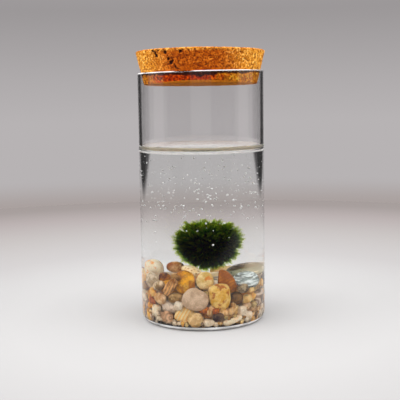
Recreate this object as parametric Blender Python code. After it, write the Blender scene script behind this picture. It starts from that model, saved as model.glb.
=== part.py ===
"""A marimo moss ball in a corked glass jar of water, resting on river pebbles.

The jar stands on its flat base with its axis on Z. The front is towards -Y and the right is +X.
An azimuth is measured around the axis, from the front towards the right.
"""

import math

import bmesh
import bpy
import numpy as np
from mathutils import Matrix, Vector, noise
from mathutils.bvhtree import BVHTree

MM = 0.001

# Driving dimensions
JAR_RADIUS = 32.5 * MM
WALL = 1.5 * MM
JAR_HEIGHT = 128.5 * MM
BASE_THICKNESS = 1.8 * MM
HEEL_RADIUS = 3.8 * MM
RIM_SLANT = math.radians(0.8)
SLANT_START = 100.0 * MM

CORK_TOP_RADIUS = 33.1 * MM
CORK_BOTTOM_RADIUS = 29.3 * MM
CORK_THICKNESS = 17.2 * MM
CORK_TOP_HEIGHT = 139.0 * MM
CORK_EDGE = 0.9 * MM
CORK_TILT = math.radians(1.2)

WATER_LEVEL = 88.8 * MM
WATER_LOWEST = 16.0 * MM
GAP = 0.3 * MM

MOSS_RADIUS = 13.9 * MM
MOSS_PLACE = (2.0 * MM, 0.5 * MM, 39.1 * MM)
# How blunt the upper half of the moss ball is, 2 for a sphere, and how it widens upwards
MOSS_BLUNTNESS = 2.6
MOSS_TAPER = 0.08

BED_RADIUS = 15.5 * MM
BED_HEIGHT = 11.0 * MM

JAR_SIDES = 64
CORK_SIDES = 64
WATER_SIDES = 48
WATER_RINGS = 9

# Limits of the space that holds the pebbles
INSIDE_RADIUS = JAR_RADIUS - WALL
INNER_FILLET = HEEL_RADIUS - WALL
CONTAINER_SIDES = 48

# How the pebbles settle: rounds in all, the share of them in which pebbles sink and are drawn
# to their places, the sinking in each round, and the pull towards a given or a loose place
SETTLE_ROUNDS = 700
SETTLE_SHARE = 0.6
SINK = 0.035 * MM
PULL_PLACED = 0.15
PULL_LOOSE = 0.02
DROP_STEP = 0.05 * MM
DROP_STEPS = 400

SEED = 11

# Base colour (linear) and roughness of each kind of stone
STONE_COLOURS = {
    "cream": (0.72, 0.58, 0.36),
    "speckled": (0.84, 0.74, 0.58),
    "white": (0.78, 0.74, 0.68),
    "honey": (0.70, 0.47, 0.18),
    "ochre": (0.52, 0.28, 0.07),
    "rust": (0.43, 0.18, 0.05),
    "tan": (0.52, 0.37, 0.21),
    "pink": (0.62, 0.46, 0.36),
    "brown": (0.30, 0.20, 0.13),
    "olive": (0.38, 0.32, 0.20),
    "grey": (0.42, 0.38, 0.34),
    "slate": (0.21, 0.18, 0.18),
}

# The pebbles that show at the front, from left to right in rows from the floor up:
# azimuth, distance of the centre from the axis, height, width, height of the stone, depth,
# lean (right end up), squareness from 0 (oval) to 1 (block), kind
FRONT_PEBBLES = [
    (-70, 27.5, 3.0, 3.5, 10.0, 4.5, -20, 0.2, "slate"),
    (-55, 27.5, 7.5, 4.5, 7.5, 4.5, -12, 0.2, "olive"),
    (-39, 27.5, 6.0, 7.0, 6.0, 5.0, -12, 0.05, "pink"),
    (-19, 26.5, 6.0, 7.5, 10.5, 4.5, -37, 0.6, "honey"),
    (-9, 28.5, 4.5, 7.0, 7.0, 4.0, 0, 0.3, "cream"),
    (8, 26.5, 7.0, 8.0, 3.5, 4.0, 6, 0.1, "ochre"),
    (14, 28.0, 6.5, 5.5, 4.5, 4.0, 8, 0.1, "slate"),
    (29, 27.5, 3.5, 12.0, 3.0, 5.0, 11, 0.2, "cream"),
    (36, 27.0, 6.5, 4.0, 5.0, 4.5, 0, 0.35, "honey"),
    (47, 28.0, 1.0, 6.0, 5.0, 4.5, 0, 0.2, "white"),
    (62, 27.0, 5.0, 4.0, 5.5, 5.0, 0, 0.3, "tan"),
    (69, 27.5, 0.0, 9.0, 4.0, 4.5, 30, 0.2, "cream"),
    (-67, 27.0, 12.5, 7.0, 6.0, 5.0, 10, 0.15, "honey"),
    (-47, 27.0, 13.5, 6.5, 5.5, 5.0, -15, 0.2, "cream"),
    (-41, 25.5, 11.0, 8.5, 6.0, 5.0, 0, 0.35, "grey"),
    (-34, 26.0, 18.5, 7.5, 5.0, 4.5, 8, 0.1, "olive"),
    (-6, 26.5, 15.5, 13.5, 12.0, 6.0, -8, 0.0, "pink"),
    (14, 25.0, 17.5, 10.0, 15.0, 6.5, 5, 0.15, "honey"),
    (40, 25.5, 14.0, 7.0, 6.0, 5.0, -10, 0.2, "brown"),
    (45, 26.0, 12.5, 7.0, 4.0, 4.5, 5, 0.1, "tan"),
    (70, 26.5, 12.0, 11.0, 8.5, 5.5, 0, 0.1, "slate"),
    (-66, 26.0, 21.0, 8.0, 7.5, 6.0, -25, 0.3, "grey"),
    (-44, 27.5, 19.5, 8.5, 4.5, 4.5, 25, 0.0, "pink"),
    (-36, 26.5, 20.5, 11.0, 4.5, 4.5, 52, 0.1, "tan"),
    (-21, 24.5, 22.0, 10.5, 13.0, 6.5, 12, 0.1, "ochre"),
    (0, 23.5, 24.0, 8.0, 9.0, 6.0, 0, 0.15, "cream"),
    (30, 24.0, 21.0, 7.5, 15.0, 6.0, 29, 0.05, "rust"),
    (43, 26.5, 16.5, 6.5, 4.0, 4.5, 0, 0.15, "slate"),
    (79, 25.0, 15.0, 13.0, 6.5, 5.5, 22, 0.1, "tan"),
    (-57, 20.0, 24.0, 4.0, 6.0, 6.0, 0, 0.1, "rust"),
    (-98, 19.5, 26.0, 10.0, 10.0, 7.5, -20, 0.3, "speckled"),
    (-96, 10.0, 28.5, 5.0, 5.5, 7.0, 5, 0.1, "tan"),
    (-25, 9.0, 29.0, 8.5, 4.0, 6.5, -24, 0.3, "speckled"),
]

# The hidden side of the jar: azimuth of the first pebble, height of the row, number of pebbles
BACK_ROWS = [(92, 6.0, 6), (100, 12.6, 6), (112, 18.6, 4)]
BACK_END = 268.0
BACK_REACH = 25.8
# The pebbles in the middle, under the moss ball: azimuth, distance from the axis
MIDDLE_PEBBLES = [(20, 10), (130, 9), (-100, 8), (165, 19)]
MIDDLE_HEIGHT = 20.2

# Glass nuggets: azimuth, distance from the axis, height, diameter, thickness, tilt, turn
CLEAR_NUGGET = (112, 18.0, 23.0, 17.0, 6.0, 6, 0)
WHITE_NUGGET = (58, 22.5, 20.0, 14.5, 6.5, 16, 50)


def start_empty():
    for thing in list(bpy.data.objects):
        bpy.data.objects.remove(thing, do_unlink=True)


def material(name, colour, roughness, transmission=0.0, ior=1.45):
    found = bpy.data.materials.get(name)
    if found:
        return found
    made = bpy.data.materials.new(name)
    made.use_nodes = True
    shader = made.node_tree.nodes["Principled BSDF"]
    shader.inputs["Base Color"].default_value = (*colour, 1.0)
    shader.inputs["Roughness"].default_value = roughness
    shader.inputs["Metallic"].default_value = 0.0
    shader.inputs["Transmission Weight"].default_value = transmission
    shader.inputs["IOR"].default_value = ior
    return made


def add_object(name, verts, faces, surface, sharp_angle=40.0):
    """A mesh object with its faces pointing out, shaded smooth except at sharp corners."""
    mesh = bpy.data.meshes.new(name)
    mesh.from_pydata([tuple(v) for v in verts], [], [tuple(f) for f in faces])
    work = bmesh.new()
    work.from_mesh(mesh)
    bmesh.ops.recalc_face_normals(work, faces=work.faces)
    work.to_mesh(mesh)
    work.free()
    mesh.shade_smooth()
    mesh.set_sharp_from_angle(angle=math.radians(sharp_angle))
    mesh.materials.append(surface)
    made = bpy.data.objects.new(name, mesh)
    bpy.context.scene.collection.objects.link(made)
    return made


def arc(centre, radius, start, end, steps):
    """Points (distance from the axis, height) along an arc, its angles in degrees."""
    angles = np.radians(np.linspace(start, end, steps + 1))
    return [(centre[0] + radius * math.cos(a), centre[1] + radius * math.sin(a)) for a in angles]


def turned(outline, sides):
    """A solid turned about Z from an outline whose first and last points are on the axis."""
    verts = [(0.0, 0.0, outline[0][1])]
    for radius, height in outline[1:-1]:
        for i in range(sides):
            angle = 2 * math.pi * i / sides
            verts.append((radius * math.cos(angle), radius * math.sin(angle), height))
    verts.append((0.0, 0.0, outline[-1][1]))
    rings = len(outline) - 2
    last = len(verts) - 1
    faces = []
    for i in range(sides):
        j = (i + 1) % sides
        faces.append((0, 1 + i, 1 + j))
        for r in range(rings - 1):
            low, high = 1 + r * sides, 1 + (r + 1) * sides
            faces.append((low + i, high + i, high + j, low + j))
        faces.append((last, last - sides + j, last - sides + i))
    return verts, faces


def build_jar():
    """A straight cylinder with a rounded heel and a fire-polished rim, lower at the left."""
    heel = arc((JAR_RADIUS - HEEL_RADIUS, HEEL_RADIUS), HEEL_RADIUS, -90, 0, 5)
    lip = arc((JAR_RADIUS - WALL / 2, JAR_HEIGHT - WALL / 2), WALL / 2, 0, 180, 4)
    fillet_centre = (INSIDE_RADIUS - INNER_FILLET, BASE_THICKNESS + INNER_FILLET)
    fillet = arc(fillet_centre, INNER_FILLET, 0, -90, 4)
    outline = [(0.0, 0.0)] + heel + lip + fillet + [(0.0, BASE_THICKNESS)]
    verts, faces = turned(outline, JAR_SIDES)
    slanted = []
    for x, y, z in verts:
        share = max(0.0, (z - SLANT_START) / (JAR_HEIGHT - SLANT_START))
        slanted.append((x, y, z + share * x * math.tan(RIM_SLANT)))
    glass = material("clear_glass", (0.95, 0.96, 0.95), 0.02, 1.0, 1.5)
    return add_object("glass_jar", slanted, faces, glass)


def build_cork():
    """A tapered stopper with softly rounded edges, its front tilted up a little."""
    half = CORK_THICKNESS / 2
    outline = [(0.0, -half)]
    outline += arc((CORK_BOTTOM_RADIUS - CORK_EDGE, CORK_EDGE - half), CORK_EDGE, -90, -6, 2)
    outline += arc((CORK_TOP_RADIUS - CORK_EDGE, half - CORK_EDGE), CORK_EDGE, -6, 90, 3)
    outline.append((0.0, half))
    verts, faces = turned(outline, CORK_SIDES)
    cork = add_object("cork_stopper", verts, faces, material("cork", (0.52, 0.27, 0.11), 0.85))
    cork.rotation_euler = (-CORK_TILT, 0.0, 0.0)
    cork.location = (0.0, -half * math.sin(CORK_TILT), CORK_TOP_HEIGHT - half)
    return cork


def unit_ball(subdivisions):
    """Corners and triangles of an icosphere of radius 1."""
    work = bmesh.new()
    bmesh.ops.create_icosphere(work, subdivisions=subdivisions, radius=1.0)
    verts = np.array([v.co[:] for v in work.verts])
    faces = [[v.index for v in face.verts] for face in work.faces]
    work.free()
    return verts, faces


def lumpy(points, amount, size, offset):
    """Points on a unit ball moved in and out by smooth noise."""
    lift = [noise.noise(Vector(p / size) + Vector((offset, -offset, offset))) for p in points]
    return points * (1.0 + amount * np.array(lift))[:, None]


class Body:
    """A convex shape with a centre, and how far it reaches in each of many directions."""

    def __init__(self, name, verts, faces, centre, kind=None, fixed=False):
        self.name, self.verts, self.faces = name, verts, faces
        self.centre = np.array(centre, dtype=float)
        self.kind, self.fixed = kind, fixed
        self.placed = False


def pebble(name, place, size, lean, square, kind, number):
    """An oval or blocky stone that stands against the wall at an azimuth."""
    azimuth, reach, height = place
    verts, faces = unit_ball(2)
    power = 2.0 + 5.0 * square
    verts = verts / (np.abs(verts) ** power).sum(axis=1)[:, None] ** (1.0 / power)
    verts = lumpy(verts, 0.14, 0.9, 3.7 * number) * np.array(size) / 2
    turn = Matrix.Rotation(math.radians(azimuth), 3, "Z") @ Matrix.Rotation(-math.radians(lean), 3, "Y")
    verts = verts @ np.array(turn).T
    angle = math.radians(azimuth)
    centre = (reach * math.sin(angle), -reach * math.cos(angle), height)
    return Body(name, verts, faces, centre, kind)


def nugget(name, values):
    """A poured drop of glass: a low dome on a flat underside with a rounded edge."""
    azimuth, reach, height, diameter, thickness, tilt, turn = np.array(values, dtype=float)
    outline = [(0.0, -0.36)] + arc((0.72, -0.10), 0.26, -90, 0, 3)
    outline += [(0.93, 0.12), (0.78, 0.34), (0.52, 0.52), (0.26, 0.61), (0.0, 0.64)]
    verts, faces = turned([(r * diameter / 2 * MM, z * thickness * MM) for r, z in outline], 20)
    tilted = Matrix.Rotation(math.radians(turn), 3, "Z") @ Matrix.Rotation(math.radians(tilt), 3, "X")
    verts = np.array(verts) @ np.array(tilted).T
    angle = math.radians(azimuth)
    centre = np.array((reach * math.sin(angle), -reach * math.cos(angle), height)) * MM
    made = Body(name, verts, faces, centre, "nugget")
    made.placed = True
    return made


def moss_body():
    """A round tuft, blunt on top and fuller above its middle."""
    verts, faces = unit_ball(3)
    flat, height = np.hypot(verts[:, 0], verts[:, 1]), np.abs(verts[:, 2])
    power = np.where(verts[:, 2] > 0.0, MOSS_BLUNTNESS, 2.0)
    verts = verts / ((flat ** power + height ** power) ** (1.0 / power))[:, None]
    verts = lumpy(verts, 0.07, 0.55, 5.0)
    verts[:, :2] *= (1.0 + MOSS_TAPER * verts[:, 2])[:, None]
    return Body("moss_ball", verts * MOSS_RADIUS, faces, MOSS_PLACE, fixed=True)


def bed_body():
    """The mound of finer gravel in the middle, which the pebbles hide."""
    verts, faces = unit_ball(3)
    verts = lumpy(verts, 0.06, 0.5, 9.0)
    verts[:, 2] = np.where(verts[:, 2] < 0.0, 0.12 * verts[:, 2], verts[:, 2])
    verts *= np.array((BED_RADIUS, BED_RADIUS, BED_HEIGHT))
    lowest = verts[:, 2].min()
    return Body("gravel_bed", verts, faces, (0.0, 0.0, BASE_THICKNESS + GAP - lowest), fixed=True)


def list_pebbles():
    chance = np.random.default_rng(SEED)
    bodies = []

    def add(place, size, lean, square, kind):
        number = len(bodies) + 1
        place = (place[0], place[1] * MM, place[2] * MM)
        sizes = [value * MM for value in size]
        bodies.append(pebble(f"pebble_{number:02d}", place, sizes, lean, square, kind, number))

    for azimuth, reach, height, wide, tall, deep, lean, square, kind in FRONT_PEBBLES:
        add((azimuth, reach, height), (wide, deep, tall), lean, square, kind)
        bodies[-1].placed = True
    kinds = list(STONE_COLOURS)
    for first, height, count in BACK_ROWS:
        for i in range(count):
            size = (chance.uniform(11, 14), chance.uniform(7.5, 9), chance.uniform(6.0, 7.8))
            azimuth = first + (BACK_END - first) * i / (count - 1)
            kind = kinds[chance.integers(len(kinds))]
            lean = chance.uniform(-20, 20)
            add((azimuth, BACK_REACH, height), size, lean, chance.uniform(0, 0.3), kind)
    for azimuth, reach in MIDDLE_PEBBLES:
        size = (chance.uniform(11, 13), chance.uniform(9, 11), chance.uniform(7, 8))
        kind = kinds[chance.integers(len(kinds))]
        add((azimuth, reach, MIDDLE_HEIGHT), size, chance.uniform(-8, 8), 0.1, kind)
    return bodies


def container_planes():
    """Planes around the inside of the jar: its floor, its rounded corner and its wall."""
    normals, limits = [(0.0, 0.0, -1.0)], [-BASE_THICKNESS]
    fillet_top = BASE_THICKNESS + INNER_FILLET
    for i in range(CONTAINER_SIDES):
        angle = 2 * math.pi * i / CONTAINER_SIDES
        for slope in (0.0, 30.0, 60.0):
            out, down = math.cos(math.radians(slope)), math.sin(math.radians(slope))
            normals.append((out * math.cos(angle), out * math.sin(angle), -down))
            middle = out * (INSIDE_RADIUS - INNER_FILLET) - down * fillet_top
            limits.append(middle + INNER_FILLET)
    return np.array(normals), np.array(limits)


def nestle(bodies):
    """Move the free bodies apart, inside the jar and down, until none touches another.

    Two convex bodies are apart if there is a direction along which one ends before the other
    begins, so each close pair is pushed along the direction in which it overlaps least.
    """
    directions, _ = unit_ball(3)
    opposite = np.argmax(-directions @ directions.T, axis=1)
    reach = np.array([(b.verts @ directions.T).max(axis=0) for b in bodies])
    normals, limits = container_planes()
    wall_reach = np.array([(b.verts @ normals.T).max(axis=0) for b in bodies])
    centre = np.array([b.centre for b in bodies])
    home = centre.copy()
    free = np.array([not b.fixed for b in bodies])
    loose = np.array([not (b.fixed or b.placed) for b in bodies])
    pull = np.where([b.placed for b in bodies], PULL_PLACED, PULL_LOOSE)[:, None]
    first, second = np.triu_indices(len(bodies), 1)
    size = np.linalg.norm(reach, axis=1) / math.sqrt(len(directions))
    for turn in range(SETTLE_ROUNDS):
        if turn < SETTLE_ROUNDS * SETTLE_SHARE:
            centre[loose, 2] -= SINK
            centre[free] += (pull * (home - centre))[free]
        offset = centre[second] - centre[first]
        near = np.linalg.norm(offset, axis=1) < 2.2 * (size[first] + size[second])
        one, two, gap_line = first[near], second[near], offset[near]
        apart = gap_line @ directions.T - reach[one] - reach[two][:, opposite]
        best = apart.argmax(axis=1)
        short = 1.15 * GAP - apart[np.arange(len(best)), best]
        tight = short > 0
        push = directions[best[tight]] * short[tight][:, None] * 0.5
        one, two = one[tight], two[tight]
        np.add.at(centre, one, -push * np.where(free[two], 1.0, 2.0)[:, None] * free[one][:, None])
        np.add.at(centre, two, push * np.where(free[one], 1.0, 2.0)[:, None] * free[two][:, None])
        over = centre @ normals.T + wall_reach - (limits - 1.3 * GAP)
        worst = over.argmax(axis=1)
        depth = np.clip(over[np.arange(len(worst)), worst], 0, None)
        centre -= normals[worst] * (depth * free)[:, None]
    for body, place in zip(bodies, centre):
        body.centre = place


def drop(body, others):
    """Lower a body in small steps until it lies a small gap above the others."""
    directions, _ = unit_ball(3)
    mine = (body.verts @ directions.T).max(axis=0)
    theirs = [(-(o.verts @ directions.T)).max(axis=0) for o in others]
    for _ in range(DROP_STEPS):
        lower = body.centre - (0.0, 0.0, DROP_STEP)
        gaps = [((o.centre - lower) @ directions.T - mine - t).max() for o, t in zip(others, theirs)]
        if min(gaps) < GAP:
            return
        body.centre = lower


def build_water(bodies):
    """The water above the pebbles, its underside draped over them and over the moss ball."""
    points, faces = [], []
    for body in bodies:
        faces += [[len(points) + i for i in face] for face in body.faces]
        points += [Vector(v) for v in body.verts + body.centre]
    tree = BVHTree.FromPolygons(points, faces)
    radius = INSIDE_RADIUS - GAP
    ring_step = radius / WATER_RINGS

    def floor_at(x, y):
        """The highest thing within a little more than one step of a point, plus a gap."""
        highest = WATER_LOWEST
        for r in np.linspace(0.0, 1.15 * ring_step, 5):
            for a in np.linspace(0.0, 2 * math.pi, 13)[:-1]:
                start = Vector((x + r * math.cos(a), y + r * math.sin(a), WATER_LEVEL))
                hit = tree.ray_cast(start, Vector((0.0, 0.0, -1.0)))[0]
                highest = max(highest, hit.z if hit else 0.0)
        return highest + 2 * GAP

    rings = [ring_step * (i + 1) for i in range(WATER_RINGS)]
    verts, sides = [(0.0, 0.0, floor_at(0.0, 0.0))], WATER_SIDES
    for ring in rings:
        for i in range(sides):
            x, y = (ring * f(2 * math.pi * i / sides) for f in (math.cos, math.sin))
            verts.append((x, y, floor_at(x, y)))
    for i in range(sides):
        x, y = (radius * f(2 * math.pi * i / sides) for f in (math.cos, math.sin))
        verts.append((x, y, WATER_LEVEL))
    verts.append((0.0, 0.0, WATER_LEVEL))
    top = len(verts) - 1
    made = []
    for i in range(sides):
        j = (i + 1) % sides
        made.append((0, 1 + i, 1 + j))
        for r in range(WATER_RINGS):
            low, high = 1 + r * sides, 1 + (r + 1) * sides
            made.append((low + i, high + i, high + j, low + j))
        made.append((top, top - sides + j, top - sides + i))
    return add_object("water", verts, made, material("water", (0.97, 0.98, 0.98), 0.0, 1.0, 1.333))


def build_bodies(bodies):
    """Each body as an object whose origin is its centre."""
    for body in bodies:
        if body.name == "moss_ball":
            surface = material("moss", (0.03, 0.11, 0.01), 0.95)
        elif body.name == "gravel_bed":
            surface = material("gravel", (0.36, 0.29, 0.21), 0.7)
        elif body.name == "nugget_clear":
            surface = material("nugget_glass", (0.88, 0.93, 0.90), 0.03, 1.0, 1.5)
        elif body.name == "nugget_white":
            surface = material("milky_glass", (0.85, 0.90, 0.90), 0.15, 0.7, 1.5)
        else:
            surface = material("stone_" + body.kind, STONE_COLOURS[body.kind], 0.55)
        made = add_object(body.name, body.verts, body.faces, surface)
        made.location = body.centre


def main():
    start_empty()
    build_jar()
    build_cork()
    moss = moss_body()
    stones = list_pebbles()
    stones += [nugget("nugget_clear", CLEAR_NUGGET), nugget("nugget_white", WHITE_NUGGET)]
    bed = bed_body()
    nestle([bed, moss] + stones)
    drop(moss, stones)
    build_bodies([bed, moss] + stones)
    build_water(stones + [moss])


main()
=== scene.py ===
"""The looks of a marimo moss ball in its corked glass jar of water.

Lengths are in metres in the frame's own axes: +Z up, the front towards -Y, the right +X.
An azimuth is measured around the jar's axis, from the front towards the right.
"""

import math

import bmesh
import bpy
import numpy as np
from mathutils import Matrix, Vector, noise
from mathutils.bvhtree import BVHTree
from mathutils.kdtree import KDTree


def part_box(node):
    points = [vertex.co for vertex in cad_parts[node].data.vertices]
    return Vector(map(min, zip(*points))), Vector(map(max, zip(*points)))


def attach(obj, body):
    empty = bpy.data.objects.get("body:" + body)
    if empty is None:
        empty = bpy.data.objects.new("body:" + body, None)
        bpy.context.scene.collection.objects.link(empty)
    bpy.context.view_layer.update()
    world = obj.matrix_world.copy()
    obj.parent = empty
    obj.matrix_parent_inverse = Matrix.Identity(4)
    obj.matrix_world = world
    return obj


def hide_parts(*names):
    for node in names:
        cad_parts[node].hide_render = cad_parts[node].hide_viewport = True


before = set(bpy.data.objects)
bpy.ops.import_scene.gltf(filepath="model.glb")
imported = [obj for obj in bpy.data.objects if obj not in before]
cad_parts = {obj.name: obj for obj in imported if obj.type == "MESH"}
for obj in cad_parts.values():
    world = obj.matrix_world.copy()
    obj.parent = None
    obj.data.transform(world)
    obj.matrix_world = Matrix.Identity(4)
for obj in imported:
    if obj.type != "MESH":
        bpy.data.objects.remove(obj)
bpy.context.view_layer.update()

MM = 0.001

# The camera, which stands a little above the jar's rim and turns a hair clockwise
LENS = 77.4
SENSOR = 36.0
CAMERA_PLACE = (-0.32 * MM, -447.0 * MM, 118.4 * MM)
CAMERA_DOWN = math.radians(7.19)
CAMERA_ROLL = math.radians(0.8)

# The jar, as in the CAD
JAR_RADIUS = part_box("glass_jar")[1].x
WALL = 1.5 * MM
JAR_HEIGHT = 128.5 * MM
BASE_THICKNESS = 1.8 * MM
HEEL_RADIUS = 3.8 * MM
RIM_SLANT = math.radians(0.8)
SLANT_START = 100.0 * MM
INSIDE_RADIUS = JAR_RADIUS - WALL
INNER_FILLET = HEEL_RADIUS - WALL
# How far down the painted highlight on its rim reaches and how far up the painted reflection on its
# heel, its number of sides, and how close its supporting points stand to the ends of its straights
RIM_HIGHLIGHT_DEPTH = 0.55 * MM
HEEL_TOP = 2.4 * MM
JAR_SIDES = 256
SUPPORT = 0.15 * MM
# A point this near to a surface counts as on it
NEAR = 0.001 * MM

# The cork, as in the CAD
CORK_TOP_RADIUS = 33.1 * MM
CORK_BOTTOM_RADIUS = 29.3 * MM
CORK_THICKNESS = 17.2 * MM
CORK_TOP_HEIGHT = 139.0 * MM
CORK_EDGE = 0.9 * MM
CORK_TILT = math.radians(1.2)
# How fine its mesh is
CORK_SIDES = 384
CORK_STEP = 0.55 * MM

# The water: its flat middle, how far it climbs the glass, and its capillary length. Against its
# level, the heights of the painted highlight line round it and of where the painted light on its edge
# begins
WATER_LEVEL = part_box("water")[1].z - 0.3 * MM
MENISCUS_HEIGHT = 2.9 * MM
CAPILLARY_LENGTH = 2.72 * MM
PAINTED_LINE_SPAN = -0.45 * MM, 0.50 * MM
EDGE_START = 0.70 * MM
# The edge's painted olive reflection of the moss in front: where it ends to each side, and where at
# its top
MOSS_REFLECTION_ENDS = 8.0 * MM, 13.0 * MM
MOSS_REFLECTION_TOP = 0.35 * MENISCUS_HEIGHT, 0.55 * MENISCUS_HEIGHT

# How strongly glass and water bend light in air
GLASS_IOR = 1.5
WATER_IOR = 1.333


def arc(centre, radius, start, end, steps):
    """Points (distance from the axis, height) along an arc, its angles in degrees."""
    angles = np.radians(np.linspace(start, end, steps + 1))
    return [(centre[0] + radius * math.cos(a), centre[1] + radius * math.sin(a)) for a in angles]


def supported(outline):
    """The outline with points close to the ends of its long straights, to keep shading flat there."""
    made = [outline[0]]
    for start, end in zip(outline, outline[1:]):
        length = math.dist(start, end)
        if length > 8 * SUPPORT:
            for share in (SUPPORT / length, 1.0 - SUPPORT / length):
                made.append(tuple(a + (b - a) * share for a, b in zip(start, end)))
        made.append(end)
    return made


def turned(outline, sides):
    """A solid turned about Z from an outline whose first and last points are on the axis."""
    verts = [(0.0, 0.0, outline[0][1])]
    for radius, height in outline[1:-1]:
        for i in range(sides):
            angle = 2 * math.pi * i / sides
            verts.append((radius * math.cos(angle), radius * math.sin(angle), height))
    verts.append((0.0, 0.0, outline[-1][1]))
    rings, last = len(outline) - 2, len(verts) - 1
    faces = []
    for i in range(sides):
        j = (i + 1) % sides
        faces.append((0, 1 + j, 1 + i))
        for r in range(rings - 1):
            low, high = 1 + r * sides, 1 + (r + 1) * sides
            faces.append((low + i, low + j, high + j, high + i))
        faces.append((last, last - sides + i, last - sides + j))
    return np.array(verts), faces


def new_object(name, data):
    made = bpy.data.objects.new(name, data)
    bpy.context.scene.collection.objects.link(made)
    return made


def make_object(name, verts, faces, materials, sharp_angle=40.0, slots=None):
    """A mesh object shaded smooth except at sharp corners. slots gives each face's material."""
    mesh = bpy.data.meshes.new(name)
    mesh.from_pydata(np.asarray(verts).tolist(), [], faces)
    for surface in materials:
        mesh.materials.append(surface)
    if slots is not None:
        mesh.polygons.foreach_set("material_index", slots)
    mesh.shade_smooth()
    mesh.set_sharp_from_angle(angle=math.radians(sharp_angle))
    mesh.update()
    return new_object(name, mesh)


def set_values(piece, name, values):
    """Give each point of a piece a value that its material can read by name."""
    piece.data.attributes.new(name, "FLOAT", "POINT").data.foreach_set("value", values)


def from_axis(points):
    return np.hypot(points[:, 0], points[:, 1])


def face_slots(faces, *marks):
    """Each face's material number: the sum of 1, 2, 4 for the marks that all its corners have."""
    def slot(face):
        return sum(2 ** i for i, mark in enumerate(marks) if all(mark[v] for v in face))

    return [slot(face) for face in faces]


def add_piece(name, verts, faces, materials, slot, nodes=(), **shading):
    """A piece of the object that rides on its one body and may stand for CAD nodes."""
    made = make_object(name, verts, faces, materials, **shading)
    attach(made, "root")
    if nodes:
        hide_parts(*nodes)
    return made


class Nodes:
    """A short way to fill a node tree."""

    def __init__(self, tree):
        self.tree = tree

    def add(self, kind, inputs=None, **settings):
        made = self.tree.nodes.new("ShaderNode" + kind)
        for key, value in settings.items():
            setattr(made, key, value)
        for key, value in (inputs or {}).items():
            self.put(made.inputs[key], value)
        return made

    def put(self, socket, value):
        if isinstance(value, bpy.types.NodeSocket):
            self.tree.links.new(value, socket)
        elif socket.type == "RGBA":
            socket.default_value = (*value[:3], 1.0)
        else:
            socket.default_value = value

    def math(self, operation, a, b=0.0):
        return self.add("Math", {0: a, 1: b}, operation=operation).outputs[0]

    def plus(self, a, b):
        return self.math("ADD", a, b)

    def minus(self, a, b):
        return self.math("SUBTRACT", a, b)

    def times(self, a, b):
        return self.math("MULTIPLY", a, b)

    def split(self, vector):
        return self.add("SeparateXYZ", {0: vector}).outputs

    def attribute(self, name):
        return self.add("Attribute", attribute_name=name).outputs["Fac"]

    def step(self, value, low, high):
        """0 below low, 1 above high and a smooth step between."""
        limits = {"Value": value, "From Min": low, "From Max": high}
        return self.add("MapRange", limits, interpolation_type="SMOOTHSTEP").outputs[0]

    def noise(self, place, scale, detail=3.0, roughness=0.5):
        inputs = {"Vector": place, "Scale": scale, "Detail": detail, "Roughness": roughness}
        return self.add("TexNoise", inputs).outputs[0]

    def cells(self, place, scale):
        return self.add("TexVoronoi", {"Vector": place, "Scale": scale}).outputs

    def ramp(self, value, stops):
        made = self.add("ValToRGB", {"Fac": value})
        elements = made.color_ramp.elements
        for position, colour in stops[1:-1]:
            elements.new(position).color = (*colour, 1.0)
        ends = (elements[0], stops[0]), (elements[len(stops) - 1], stops[-1])
        for element, (position, colour) in ends:
            element.position = position
            element.color = (*colour, 1.0)
        return made.outputs[0]

    def mix(self, share, a, b, blend="MIX", clamp=False):
        kind = {"data_type": "RGBA", "blend_type": blend, "clamp_result": clamp}
        return self.add("Mix", {0: share, 6: a, 7: b}, **kind).outputs[2]

    def scaled(self, colour, share):
        """A colour with all its channels times a share, which is a number or a node's value."""
        grey = share if isinstance(share, bpy.types.NodeSocket) else (share,) * 3
        return self.mix(1.0, colour, grey, "MULTIPLY")

    def place(self, stretch=(1.0, 1.0, 1.0)):
        """The point on the object, in metres, stretched."""
        start = self.add("TexCoord").outputs["Object"]
        return self.add("Mapping", {"Vector": start, "Scale": stretch}).outputs[0]

    def bump(self, height, distance, strength=1.0):
        values = {"Height": height, "Distance": distance, "Strength": strength}
        return self.add("Bump", values).outputs[0]


def new_material(name):
    """A material, its node helper, and a function that gives its shader an input."""
    made = bpy.data.materials.new(name)
    made.use_nodes = True
    nodes = Nodes(made.node_tree)
    shader = made.node_tree.nodes["Principled BSDF"]

    def look(socket, value):
        nodes.put(shader.inputs[socket], value)

    return made, nodes, look


def add_camera():
    camera = bpy.data.cameras.new("camera")
    camera.lens = LENS
    camera.sensor_width = SENSOR
    camera.clip_start = 10 * MM
    made = new_object("camera", camera)
    made.location = CAMERA_PLACE
    made.rotation_euler = (math.pi / 2 - CAMERA_DOWN, CAMERA_ROLL, 0.0)
    bpy.context.scene.camera = made


def srgb(*values):
    """A linear colour from its value on a screen, 0 to 255."""
    shares = np.array(values) / 255
    return tuple(np.where(shares < 0.04045, shares / 12.92, ((shares + 0.055) / 1.055) ** 2.4))


# The backdrop's colour at heights above the horizon, given as sines
BACKDROP = [
    (-0.40, srgb(206, 202, 201)),
    (-0.17, srgb(172, 165, 163)),
    (-0.125, srgb(170, 161, 159)),
    (-0.102, srgb(183, 179, 180)),
    (-0.033, srgb(183, 179, 180)),
    (0.013, srgb(175, 171, 172)),
    (0.092, srgb(155, 151, 152)),
    (0.30, srgb(150, 146, 147)),
    (1.00, srgb(190, 187, 187)),
]
# Soft boxes: direction, sharpness of their edge, strength
SOFT_BOXES = [
    ((-0.80, -0.30, 0.50), 5.0, 4.0),
    ((0.80, -0.30, 0.50), 5.0, 3.4),
    ((0.0, -0.80, 0.60), 4.0, 1.2),
    ((0.0, 0.45, 0.89), 3.0, 1.2),
]
# The room's walls face the four sides. Between them are corners, where the product of x and y
# passes these limits: how dim they are, and how they narrow below a height
DIM_ROOM = 0.08
CORNER_START, CORNER_END = 0.415, 0.455
CORNER_NARROWS = 1.3
NARROWS_BELOW = -0.066
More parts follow.
